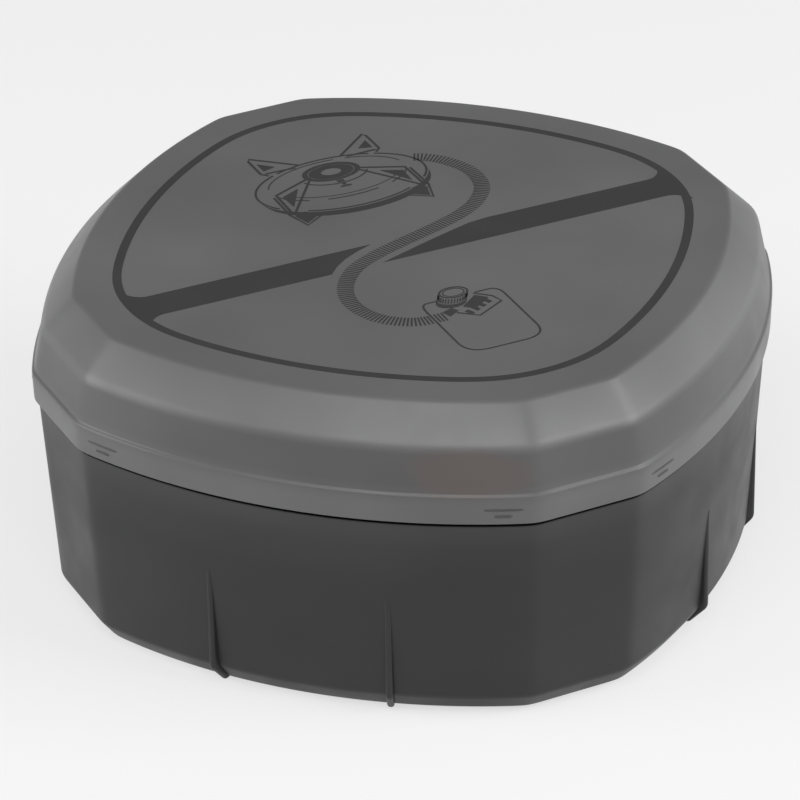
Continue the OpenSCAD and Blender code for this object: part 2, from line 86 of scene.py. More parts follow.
# Where the lid's wall gets a painted glow of the orange knob seen through it: middle and half
# sizes of the patch, and its colour.
GLIMPSE_AT = (58.6, -116.0, 94.0)
GLIMPSE_HALF = (23.8, 20.0, 10.0)
GLIMPSE_PAINTED_COLOUR = (0.175, 0.118, 0.105)

INK_DEEP = 0.05                 # the ink starts this far inside the lid's top
LAMP_TARGET_Z = 0.06            # every soft box faces this height over the middle, in metres


# ---- mesh tools ------------------------------------------------------------------------


def grid_quads(rows: int, columns: int, wrap: bool = True) -> Array:
    """Quads between neighbouring rows of a grid of points.

    Args:
        rows: Number of rows.
        columns: Points in a row.
        wrap: True where each row is a closed ring.

    Returns:
        An array of four point numbers a quad.
    """
    i = np.arange(rows - 1)[:, None] * columns
    j = np.arange(columns if wrap else columns - 1)[None, :]
    k = (j + 1) % columns
    return np.stack([i + j, i + k, i + columns + k, i + columns + j], axis=-1).reshape(-1, 4)


def rounded(line: Array, radii: Sequence[float], steps: int = 5) -> Array:
    """A line of points with its inner corners rounded.

    Each corner P becomes a parabola from A to C, (1-t)^2 A + 2t(1-t) P + t^2 C, where A and C
    lie its radius away from P along the two sides, and never past 0.45 of a side.

    Args:
        line: The corners, as rows of coordinates.
        radii: One radius for each inner corner.
        steps: Points in each rounded corner.

    Returns:
        The rounded line, with its two ends kept.
    """
    before, corner, after = line[:-2], line[1:-1], line[2:]
    reach = np.asarray(radii, float)[:, None]

    def towards(end: Array) -> Array:
        """Points on the way from each corner to one of its neighbours."""
        way = end - corner
        length = np.linalg.norm(way, axis=1, keepdims=True)
        return corner + way / length * np.minimum(reach, 0.45 * length)

    a, c = towards(before)[:, None], towards(after)[:, None]
    t = np.linspace(0.0, 1.0, steps)[None, :, None]
    arcs = (1 - t) ** 2 * a + 2 * t * (1 - t) * corner[:, None] + t**2 * c
    return np.vstack([line[:1], arcs.reshape(-1, line.shape[1]), line[-1:]])


def smooth_path(points: Array, spacing: float) -> Array:
    """A smooth curve through points, in even steps.

    Between two points B and C, with A before and D after, it is the cubic
    (2B + (C-A)t + (2A-5B+4C-D)t^2 + (3B-A-3C+D)t^3) / 2.

    Args:
        points: The points that the curve passes through.
        spacing: Length of one step along the curve.

    Returns:
        Points along the curve, the two ends among them.
    """
    p = np.vstack([points[:1], points, points[-1:]])
    a, b, c, d = (p[i : len(p) - 3 + i, None, :] for i in range(4))
    t = np.linspace(0.0, 1.0, 24, endpoint=False)[None, :, None]
    fine = 0.5 * (
        2 * b + (c - a) * t + (2 * a - 5 * b + 4 * c - d) * t**2 + (3 * b - a - 3 * c + d) * t**3
    )
    fine = np.vstack([fine.reshape(-1, points.shape[1]), points[-1:]])
    walked = np.concatenate([[0.0], np.cumsum(np.linalg.norm(np.diff(fine, axis=0), axis=1))])
    count = max(2, int(round(walked[-1] / spacing)) + 1)
    at = np.linspace(0.0, walked[-1], count)
    return np.stack([np.interp(at, walked, fine[:, k]) for k in range(points.shape[1])], axis=1)


@dataclass
class Shape:
    """Points and faces that are gathered before they become one piece."""

    points: list[Array] = field(default_factory=list)
    faces: list[list[int]] = field(default_factory=list)
    count: int = 0

    def add(self, points: Array, faces: Sequence[Sequence[int]] | Array) -> None:
        """Adds one closed solid.

        Args:
            points: Its points, in millimetres.
            faces: Its faces, numbered from its own first point.
        """
        rows = faces.tolist() if isinstance(faces, np.ndarray) else faces
        self.faces.extend([[i + self.count for i in row] for row in rows])
        self.points.append(points)
        self.count += len(points)

    def add_rings(self, rings: Array, closed: bool = False) -> None:
        """Adds a solid that is a row of rings.

        Args:
            rings: An array of rings, points and coordinates.
            closed: True where the last ring joins the first again.
        """
        rows, columns = rings.shape[:2]
        points = rings.reshape(-1, 3)
        if closed:
            quads = grid_quads(rows + 1, columns) % (rows * columns)
            self.add(points, quads)
            return
        first = list(range(columns))
        last = [(rows - 1) * columns + i for i in first]
        self.add(points, [*grid_quads(rows, columns).tolist(), first[::-1], last])

    def piece(self, name: str, material: Material, sharp_deg: float = 38.0) -> Piece:
        """Makes the mesh object, faces outwards and smooth up to an angle.

        Args:
            name: Name of the piece.
            material: Its material.
            sharp_deg: Edges that bend more than this stay sharp.

        Returns:
            The new object, at the origin.
        """
        mesh = bpy.data.meshes.new(name)
        mesh.from_pydata((np.vstack(self.points) * MM).tolist(), [], self.faces)
        work = bmesh.new()
        work.from_mesh(mesh)
        bmesh.ops.recalc_face_normals(work, faces=work.faces)
        work.to_mesh(mesh)
        work.free()
        mesh.polygons.foreach_set("use_smooth", [True] * len(mesh.polygons))
        mesh.set_sharp_from_angle(angle=math.radians(sharp_deg))
        mesh.materials.append(material)
        piece = bpy.data.objects.new(name, mesh)
        bpy.context.scene.collection.objects.link(piece)
        return piece


# ---- finishes --------------------------------------------------------------------------


@dataclass
class Nodes:
    """A material under construction: its node tree, its shader and short ways to add to it."""

    name: str

    def __post_init__(self) -> None:
        """Starts the material with one Principled shader."""
        self.material = bpy.data.materials.new(self.name)
        self.material.use_nodes = True
        self.tree = self.material.node_tree
        self.shader = self.tree.nodes["Principled BSDF"]
        self.place = self.tree.nodes.new("ShaderNodeTexCoord")

    def set(self, **values: float | tuple[float, ...]) -> None:
        """Sets plain values on the shader's own sockets, spaces in their names as underscores."""
        for name, value in values.items():
            self.shader.inputs[name.replace("_", " ")].default_value = value

    def node(self, kind: str, **settings: object) -> bpy.types.Node:
        """Adds a node and sets its properties."""
        made = self.tree.nodes.new(kind)
        for name, value in settings.items():
            setattr(made, name, value)
        return made

    def link(self, source: Socket, target: Socket) -> None:
        """Joins two sockets."""
        self.tree.links.new(source, target)

    def stretched(self, scale: tuple[float, float, float]) -> Socket:
        """Object coordinates, drawn out differently along each axis."""
        mapping = self.node("ShaderNodeMapping")
        mapping.inputs["Scale"].default_value = scale
        self.link(self.place.outputs["Object"], mapping.inputs["Vector"])
        return mapping.outputs["Vector"]

    def noise(
        self, scale: float, detail: float = 3.0, along: Socket | None = None
    ) -> Socket:
        """A noise from 0 to 1.

        Args:
            scale: Features a metre.
            detail: Octaves of finer noise.
            along: Coordinates to read, object coordinates if None.

        Returns:
            The noise's value.
        """
        made = self.node("ShaderNodeTexNoise")
        made.inputs["Scale"].default_value = scale
        made.inputs["Detail"].default_value = detail
        self.link(along or self.place.outputs["Object"], made.inputs["Vector"])
        return made.outputs["Fac"]

    def spread(
        self, value: Socket, low: float, high: float, start: float = 0.3, end: float = 0.7
    ) -> Socket:
        """Maps a value in a straight line, held at its ends.

        Args:
            value: The value to map.
            low: Result at start.
            high: Result at end.
            start: Value that gives low.
            end: Value that gives high.

        Returns:
            The mapped value.
        """
        made = self.node("ShaderNodeMapRange")
        made.inputs["From Min"].default_value = start
        made.inputs["From Max"].default_value = end
        made.inputs["To Min"].default_value = low
        made.inputs["To Max"].default_value = high
        self.link(value, made.inputs["Value"])
        return made.outputs["Result"]

    def blend(
        self,
        amount: Socket,
        a: Colour | Socket,
        b: Colour | Socket,
    ) -> Socket:
        """A colour between two others.

        Args:
            amount: 0 for a, 1 for b.
            a: A colour, or a socket that gives one.
            b: The other.

        Returns:
            The mixed colour.
        """
        made = self.node("ShaderNodeMix", data_type="RGBA")
        self.link(amount, made.inputs["Factor"])
        for name, value in (("A", a), ("B", b)):
            socket = next(s for s in made.inputs if s.name == name and s.type == "RGBA")
            if isinstance(value, tuple):
                socket.default_value = (*value, 1.0)
            else:
                self.link(value, socket)
        return next(s for s in made.outputs if s.type == "RGBA")

    def bump(self, height: Socket, depth_mm: float, strength: float = 1.0) -> None:
        """Puts a bump on the surface, over any that it already has.

        Args:
            height: The bump's height, from 0 to 1.
            depth_mm: Its depth where the height goes from 0 to 1.
            strength: Share of it that shows.
        """
        made = self.node("ShaderNodeBump")
        made.inputs["Distance"].default_value = depth_mm * MM
        made.inputs["Strength"].default_value = strength
        self.link(height, made.inputs["Height"])
        normal = self.shader.inputs["Normal"]
        if normal.is_linked:
            self.link(normal.links[0].from_socket, made.inputs["Normal"])
        self.link(made.outputs["Normal"], normal)


@dataclass(frozen=True)
class SmokePlastic:
    """Translucent smoke-grey plastic with a satin texture.

    Painted light and shade follow the height, see BASE_PAINTED_SHADING and LID_PAINTED_SHADING,
    and it holds faint cloudy flow marks. `clear` is the share of light that goes through, and
    `glimpse` the strength of the painted glow of the knob seen through the wall.
    """

    name: str
    tint: Colour
    clear: float
    roughness: float
    shades: tuple[tuple[float, float], ...]
    clouds: float = 0.12
    grain_mm: float = 0.02
    gloss: float = 0.5
    glimpse: float = 0.0

    def build(self) -> Material:
        """Makes the material."""
        n = Nodes(self.name)
        n.set(IOR=1.49, Transmission_Weight=self.clear, Specular_IOR_Level=self.gloss)
        split = n.node("ShaderNodeSeparateXYZ")
        n.link(n.place.outputs["Object"], split.inputs["Vector"])
        # The colour ramp paints light and shade by height into the base colour.
        lowest, highest = self.shades[0][0], self.shades[-1][0]
        height = n.spread(split.outputs["Z"], 0.0, 1.0, lowest * MM, highest * MM)
        ramp = n.node("ShaderNodeValToRGB")
        stops = ramp.color_ramp.elements
        while len(stops) < len(self.shades):
            stops.new(0.5)
        for stop, (z, shade) in zip(stops, self.shades):
            stop.position = (z - lowest) / (highest - lowest)
            stop.color = (*(c * shade for c in self.tint), 1.0)
        n.link(height, ramp.inputs["Fac"])
        cloud = n.noise(14.0, 2.0, n.stretched((1.0, 1.0, 1.8)))
        darker = n.spread(cloud, 1.0 - self.clouds, 1.0 + self.clouds)
        mixed = n.node("ShaderNodeVectorMath", operation="SCALE")
        n.link(ramp.outputs["Color"], mixed.inputs[0])
        n.link(darker, mixed.inputs["Scale"])
        shade = mixed.outputs["Vector"]
        if self.glimpse:
            shade = self.knob_glimpse(n, shade)
        n.link(shade, n.shader.inputs["Base Color"])
        sheen = n.noise(60.0, 4.0)
        n.link(
            n.spread(sheen, self.roughness - 0.05, self.roughness + 0.06),
            n.shader.inputs["Roughness"],
        )
        n.bump(n.noise(2600.0, 2.0), self.grain_mm, 0.35)
        return n.material

    def knob_glimpse(self, n: Nodes, shade: Socket) -> Socket:
        """A painted glow of the orange knob, seen through the wall in front of it.

        Its strength falls from 1 to 0 at the surface of an ellipsoid round that place, with a
        little noise in its edge.

        Args:
            n: The material under construction.
            shade: The colour without the painted glow.

        Returns:
            The colour with it.
        """
        near = n.node("ShaderNodeMapping", vector_type="POINT")
        near.inputs["Location"].default_value = [-a / h for a, h in zip(GLIMPSE_AT, GLIMPSE_HALF)]
        near.inputs["Scale"].default_value = [1.0 / (h * MM) for h in GLIMPSE_HALF]
        n.link(n.place.outputs["Object"], near.inputs["Vector"])
        length = n.node("ShaderNodeVectorMath", operation="LENGTH")
        n.link(near.outputs["Vector"], length.inputs[0])
        ragged = n.node("ShaderNodeMath", operation="ADD")
        n.link(length.outputs["Value"], ragged.inputs[0])
        n.link(n.spread(n.noise(70.0, 3.0), -0.12, 0.12), ragged.inputs[1])
        amount = n.spread(ragged.outputs["Value"], self.glimpse, 0.0, 0.7, 1.05)
        return n.blend(amount, shade, GLIMPSE_PAINTED_COLOUR)


@dataclass(frozen=True)
class Metal:
    """Metal with a fine drawn or cast grain and slightly uneven gloss."""

    name: str
    colour: Colour
    stain: Colour
    roughness: float
    grain: tuple[float, float, float] = (1.0, 1.0, 1.0)
    grain_scale: float = 900.0
    grain_mm: float = 0.02
    stain_scale: float = 22.0

    def build(self) -> Material:
        """Makes the material."""
        n = Nodes(self.name)
        n.set(Metallic=1.0)
        stained = n.spread(n.noise(self.stain_scale, 5.0), 0.0, 1.0, 0.42, 0.78)
        n.link(n.blend(stained, self.colour, self.stain), n.shader.inputs["Base Color"])
        fine = n.noise(self.grain_scale, 3.0, n.stretched(self.grain))
        n.link(
            n.spread(fine, self.roughness - 0.07, self.roughness + 0.1),
            n.shader.inputs["Roughness"],
        )
        n.bump(fine, self.grain_mm, 0.5)
        return n.material


@dataclass(frozen=True)
class Moulded:
    """Opaque plastic, rubber or ceramic: a moulded skin with a fine grain and dusty patches."""

    name: str
    colour: Colour
    worn: Colour
    roughness: float
    grain_scale: float = 1800.0
    grain_mm: float = 0.03
    coat: float = 0.0
    clear: float = 0.0

    def build(self) -> Material:
        """Makes the material."""
        n = Nodes(self.name)
        n.set(IOR=1.5, Coat_Weight=self.coat, Coat_Roughness=0.12, Transmission_Weight=self.clear)
        worn = n.spread(n.noise(45.0, 5.0), 0.0, 1.0, 0.45, 0.8)
        n.link(n.blend(worn, self.colour, self.worn), n.shader.inputs["Base Color"])
        fine = n.noise(self.grain_scale, 2.0)
        n.link(
            n.spread(fine, self.roughness - 0.06, self.roughness + 0.06),
            n.shader.inputs["Roughness"],
        )
        n.bump(fine, self.grain_mm, 0.4)
        return n.material


@dataclass(frozen=True)
class Paper:
    """The studio's pale sheet, which glows a little so that shadows on it stay faint."""

    name: str
    colour: float
    glow: float

    def build(self) -> Material:
        """Makes the material."""
        n = Nodes(self.name)
        n.set(
            Base_Color=(self.colour, self.colour, self.colour, 1.0),
            Roughness=0.9,
            Specular_IOR_Level=0.1,
            Emission_Color=(1.0, 1.0, 1.0, 1.0),
            Emission_Strength=self.glow,
        )
        return n.material


class Finish(Enum):
    """The finishes of the case, the stove and the valve, by the record's slot names."""

    SMOKE_BASE = SmokePlastic(
        "smoke_plastic_dark", (0.030, 0.030, 0.031), 0.32, 0.42, BASE_PAINTED_SHADING, gloss=0.32
    )
    SMOKE_LID = SmokePlastic(
        "smoke_plastic_clear", (0.165, 0.165, 0.167), 0.40, 0.40, LID_PAINTED_SHADING, glimpse=0.42
    )
    # A darker copy of the lid's plastic for the raised clip marks: painted shade that stands in
    # for how the dashes are shaded.
    SMOKE_MARK_PAINTED_SHADE = SmokePlastic("smoke_plastic_mark", (0.06, 0.06, 0.06), 0.2, 0.45, PLAIN_SHADES)
    INK = Moulded("print_ink", (0.024, 0.024, 0.025), (0.03, 0.03, 0.031), 0.55, 3000.0, 0.005)
    TRAY = Metal(
        "tray_steel", (0.60, 0.59, 0.575), (0.56, 0.545, 0.52), 0.33, (1, 1, 1), 380.0, 0.006
    )
    SHEET = Metal("sheet_steel", (0.52, 0.53, 0.55), (0.42, 0.42, 0.43), 0.34, (1, 1, 6), 900.0)
    BRIGHT = Metal("bright_steel", (0.70, 0.71, 0.73), (0.60, 0.60, 0.60), 0.18, (1, 1, 12), 700.0)
    CAST = Metal(
        "cast_alloy", (0.46, 0.47, 0.48), (0.34, 0.34, 0.34), 0.5, (1, 1, 1), 1200.0, 0.08
    )
    BURNER = Metal("burner_brass", (0.56, 0.43, 0.22), (0.30, 0.22, 0.20), 0.33, (1, 1, 1), 800.0)
    BRASS = Metal("brass", (0.76, 0.58, 0.27), (0.58, 0.42, 0.19), 0.24, (1, 1, 8), 700.0)
    HOSE = Moulded("hose_rubber", (0.018, 0.018, 0.019), (0.045, 0.045, 0.045), 0.52, 2400.0, 0.03)
    BLACK = Moulded("black_plastic", (0.020, 0.020, 0.022), (0.04, 0.04, 0.04), 0.42)
    RED = Moulded("red_plastic", (0.62, 0.060, 0.022), (0.50, 0.055, 0.03), 0.36, coat=0.15)
    CERAMIC = Moulded("ceramic", (0.82, 0.80, 0.74), (0.72, 0.68, 0.60), 0.22, 300.0, 0.02, 0.6)
    LEAD = Moulded("lead_silicone", (0.26, 0.03, 0.022), (0.2, 0.03, 0.02), 0.45)
    SEAL = Moulded("seal_rubber", (0.012, 0.012, 0.012), (0.03, 0.03, 0.03), 0.5)
    FOOT = Moulded("foot_rubber", (0.022, 0.022, 0.022), (0.07, 0.068, 0.065), 0.7, 1500.0, 0.06)
    CAP = Moulded("cap_plastic", (0.62, 0.62, 0.61), (0.52, 0.52, 0.50), 0.3, coat=0.2)


class Shelf:
    """Holds each finish's material once it is made."""

    def __init__(self) -> None:
        """Makes every finish of the Finish list."""
        self.made = {finish.value.name: finish.value.build() for finish in Finish}

    def of(self, finish: Finish) -> Material:
        """The material of a finish."""
        return self.made[finish.value.name]

    def slot(self, name: str) -> Material:
        """The material of one of the record's slots."""
        return self.made[name]


# ---- the case --------------------------------------------------------------------------


@dataclass(frozen=True)
class Outline:
    """The case's plan: a square with four bulged sides and four cut corners."""

    bulge: float = 84.0
    corner: float = 9.0

    def radius(self, azimuth: Array | float, side: Array | float, blend: float = 2.0) -> Array:
        """Distance from the middle to the outline.

        Within each eighth turn, t from the middle of a side, the side is a circle whose centre
        lies `bulge` past the middle: -bulge cos t + sqrt((side+bulge)^2 - (bulge sin t)^2). The
        cut is the straight line (side+corner) / cos(45-t). The outline is the nearer of the two,
        less ln(1 + exp(-blend*gap)) / blend, which rounds the place where they meet.

        Args:
            azimuth: Directions, in radians.
            side: Distance from the middle to the middle of a side.
            blend: Sharpness of the rounding; lower is softer.

        Returns:
            Distances in the shape of azimuth and side together.
        """
        quarter = math.pi / 2
        t = quarter / 2 - np.abs(np.mod(azimuth, quarter) - quarter / 2)
        arc = np.sqrt((side + self.bulge) ** 2 - (self.bulge * np.sin(t)) ** 2)
        arc = arc - self.bulge * np.cos(t)
        cut = (side + self.corner) / np.cos(quarter / 2 - t)
        return np.minimum(arc, cut) - np.log1p(np.exp(-blend * np.abs(arc - cut))) / blend

    @staticmethod
    def azimuths() -> Array:
        """Directions all round, closer together where a bulged side meets a cut corner."""
        side, bend = np.arange(0, 33, 1.1), np.arange(33, 41, 0.4)
        eighth = np.concatenate([side, bend, [41.5, 42.6, 43.8]])
        quarter = np.concatenate([eighth, [45.0], 90.0 - eighth[:0:-1]])
        return np.radians(np.concatenate([quarter + 90.0 * k for k in range(4)]))

    def turned(self, line: Array, poles: tuple[float, float]) -> Shape:
        """A closed moulding: a line of (side, height) carried round the outline.

        Args:
            line: The rows' side distances and heights, from one pole to the other.
            poles: Heights of the middle points that close the first and the last row.

        Returns:
            The closed shape.
        """
        azimuth = self.azimuths()
        columns = len(azimuth)
        reach = self.radius(azimuth[None, :], line[:, :1])
        rows = np.stack(
            [
                reach * np.cos(azimuth),
                reach * np.sin(azimuth),
                np.broadcast_to(line[:, 1:], reach.shape),
            ],
            axis=-1,
        )
        points = np.vstack([rows.reshape(-1, 3), [[0, 0, poles[0]], [0, 0, poles[1]]]])
        quads = grid_quads(len(line), columns)
        ring = np.arange(columns)
        following = (ring + 1) % columns
        last = (len(line) - 1) * columns
        start = np.stack([following, ring, np.full(columns, len(points) - 2)], axis=1)
        end = np.stack([last + ring, last + following, np.full(columns, len(points) - 1)], axis=1)
        shape = Shape()
        shape.add(points, [*quads.tolist(), *start.tolist(), *end.tolist()])
        return shape


@dataclass
class CaseBase:
    """The darker tub of the case: drafted wall, cut-back bottom, rim and eight foot ribs."""

    plan: Outline
    wall_low: float = 114.2
    wall_high: float = 118.2
    chamfer_z: float = 7.8
    bottom_side: float = 109.3
    bottom_z: float = 1.0
    ledge_z: float = 76.1
    rim_side: float = 117.0
    rim_z: float = 85.5
    wall: float = 2.0
    rib_azimuth_deg: float = 15.0
    rib_proud: float = 2.4
    rib_top: float = 50.0
    rib_thick: float = 2.4
    floor_z: float = 3.2

    def shell_line(self) -> Array:
        """The tub's section, from the middle of its underside round to the middle inside."""
        corners = np.array(
            [
                [40.0, self.bottom_z + 0.7],
                [88.0, self.bottom_z + 0.7],
                [90.0, self.bottom_z],
                [self.bottom_side, self.bottom_z],
                [self.wall_low, self.chamfer_z],
                [self.wall_high, self.ledge_z - 1.1],
                [self.rim_side, self.ledge_z - 1.2],
                [self.rim_side, self.rim_z],
                [self.rim_side - self.wall, self.rim_z],
                [self.wall_high - self.wall - 0.8, self.ledge_z - 3.0],
                [self.wall_low - self.wall, self.chamfer_z + 1.2],
                [self.bottom_side - 1.0, self.floor_z],
                [40.0, self.floor_z],
            ]
        )
        radii = [1.0, 1.0, 1.2, 1.2, 0.35, 0.2, 0.4, 0.5, 1.5, 4.0, 3.0]
        return rounded(corners, radii)

    def rib(self, azimuth: float) -> Array:
        """Rings of one foot rib.

        The blade's outer edge stands upright, so that it grows out of the drafted wall on the
        way down, and turns in under the chamfer to a tip on the ground. Each ring is a section
        across the blade, square inside the wall and round at the edge.

        Args:
            azimuth: Direction of the rib, in radians.

        Returns:
            The rings' points.
        """
        outer_x = self.wall_low + self.rib_proud
        tip = self.bottom_side + 0.7
        outer = np.array([[outer_x - 1.2, self.rib_top], [outer_x, self.rib_top - 4],
                          [outer_x, self.chamfer_z - 0.2], [tip, 0.0], [tip - 2.1, 0.0]])
        inner = np.array([[outer_x - 1.9, self.rib_top], [outer_x - 1.9, self.rib_top - 4],
                          [self.wall_low - 1.2, self.chamfer_z + 0.4],
                          [self.bottom_side - 0.3, 1.9], [tip - 2.1, 1.9]])
        outer, inner = (rounded(line, [2.0, 1.6, 0.6], 7) for line in (outer, inner))
        share = np.linspace(0.0, 1.0, len(outer))
        half = self.rib_thick / 2 * (0.55 + 0.45 * np.clip(share * 3.0, 0, 1))
        nose = np.radians(np.linspace(-90, 90, 9))
        way = (outer - inner) / np.linalg.norm(outer - inner, axis=1, keepdims=True)
        depth = np.minimum(0.8 * half, 0.9)
        centre = outer - way * depth[:, None]
        edge = centre[:, None] + way[:, None] * (depth[:, None] * np.cos(nose))[..., None]
        radial = np.concatenate([inner[:, None], edge, inner[:, None]], axis=1)
        ones = np.ones_like(half)[:, None]
        across = half[:, None] * np.concatenate([-ones, np.sin(nose) * ones, ones], axis=1)
        shift = float(self.plan.radius(self.rib_azimuth_rad, self.wall_low)) - self.wall_low
        x = radial[..., 0] + shift
        return np.stack(
            [
                x * math.cos(azimuth) - across * math.sin(azimuth),
                x * math.sin(azimuth) + across * math.cos(azimuth),
                radial[..., 1],
            ],
            axis=-1,
        )

    @property
    def rib_azimuth_rad(self) -> float:
        """Angle between a rib and the middle of its side."""
        return math.radians(self.rib_azimuth_deg)

    def build(self, shelf: Shelf) -> Piece:
        """Makes the tub with its ribs and hides the plain node behind it."""
        material = shelf.of(Finish.SMOKE_BASE)
        shape = self.plan.turned(self.shell_line(), (self.bottom_z + 0.7, self.floor_z))
        for quarter in range(4):
            for hand in (-1, 1):
                shape.add_rings(self.rib(quarter * math.pi / 2 + hand * self.rib_azimuth_rad))
        piece = shape.piece("base_moulding", material)
        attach(piece, "case")
        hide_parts("case_base")
        return piece


@dataclass
class CaseLid:
    """The paler frosted lid: skirt, drafted wall, sloped shoulder and flat top."""

    plan: Outline
    top_z: float = 113.0
    wall: float = 1.8
    mark_deg: float = 32.0
    mark_side: float = 119.82
    mark_reach: float = 126.0

    def shell_line(self) -> Array:
        """The lid's section, from the middle of its top round to the middle of its ceiling."""
        corners = np.array(
            [
                [30.0, self.top_z],
                [104.9, self.top_z],
                [115.9, 102.0],
                [119.0, 87.1],
                [120.0, 86.3],
                [119.7, 76.5],
                [117.45, 76.5],
                [117.45, 85.8],
                [117.2, 87.5],
                [113.9, 101.6],
                [104.2, self.top_z - self.wall],
                [30.0, self.top_z - self.wall],
            ]
        )
        radii = [1.3, 2.4, 0.5, 0.9, 0.35, 0.3, 0.6, 1.0, 2.0, 1.6]
        return rounded(corners, radii, 6)

    def marks(self) -> Shape:
        """The raised dashes on the skirt that show where it clips: a long one over a short one."""
        shape = Shape()
        for quarter in range(4):
            for hand in (-1, 1):
                for height, half in ((81.9, 6.2), (79.5, 2.8)):
                    shape.add_rings(self.dash(quarter, hand * self.mark_deg, height, half))
        return shape

    def dash(self, quarter: int, middle: float, height: float, half: float) -> Array:
        """Rings of one raised dash, a low pillow that follows the skirt.

        Args:
            quarter: The side that it is on, in quarter turns.
            middle: Direction of its middle from the side's own, in degrees.
            height: Its height over the ground.
            half: Half its length.

        Returns:
            The rings' points.
        """
        along = np.linspace(-1.0, 1.0, 15)
        swell = np.sqrt(np.clip(1 - along**6, 0.02, 1))
        across = np.radians(np.arange(12) * 30.0)
        azimuth = math.radians(middle) + half / self.mark_reach * along
        reach = self.plan.radius(azimuth, self.mark_side)
        proud = 0.35 * swell[:, None] * np.cos(across)
        up = 0.4 * swell[:, None] * np.sin(across)
        angle = azimuth + quarter * math.pi / 2
        out = reach[:, None] + proud
        return np.stack(
            [
                out * np.cos(angle)[:, None],
                out * np.sin(angle)[:, None],
                height + up,
            ],
            axis=-1,
        )

    def build(self, shelf: Shelf) -> list[Piece]:
        """Makes the lid and its clip marks and hides the plain node behind them."""
        material = shelf.of(Finish.SMOKE_LID)
        heights = (self.top_z, self.top_z - self.wall)
        shape = self.plan.turned(self.shell_line(), heights)
        lid = shape.piece("lid_moulding", material)
        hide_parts("case_lid")
        marks = self.marks().piece("lid_clip_marks", shelf.of(Finish.SMOKE_MARK_PAINTED_SHADE))
        for piece in (lid, marks):
            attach(piece, "lid")
        return [lid, marks]


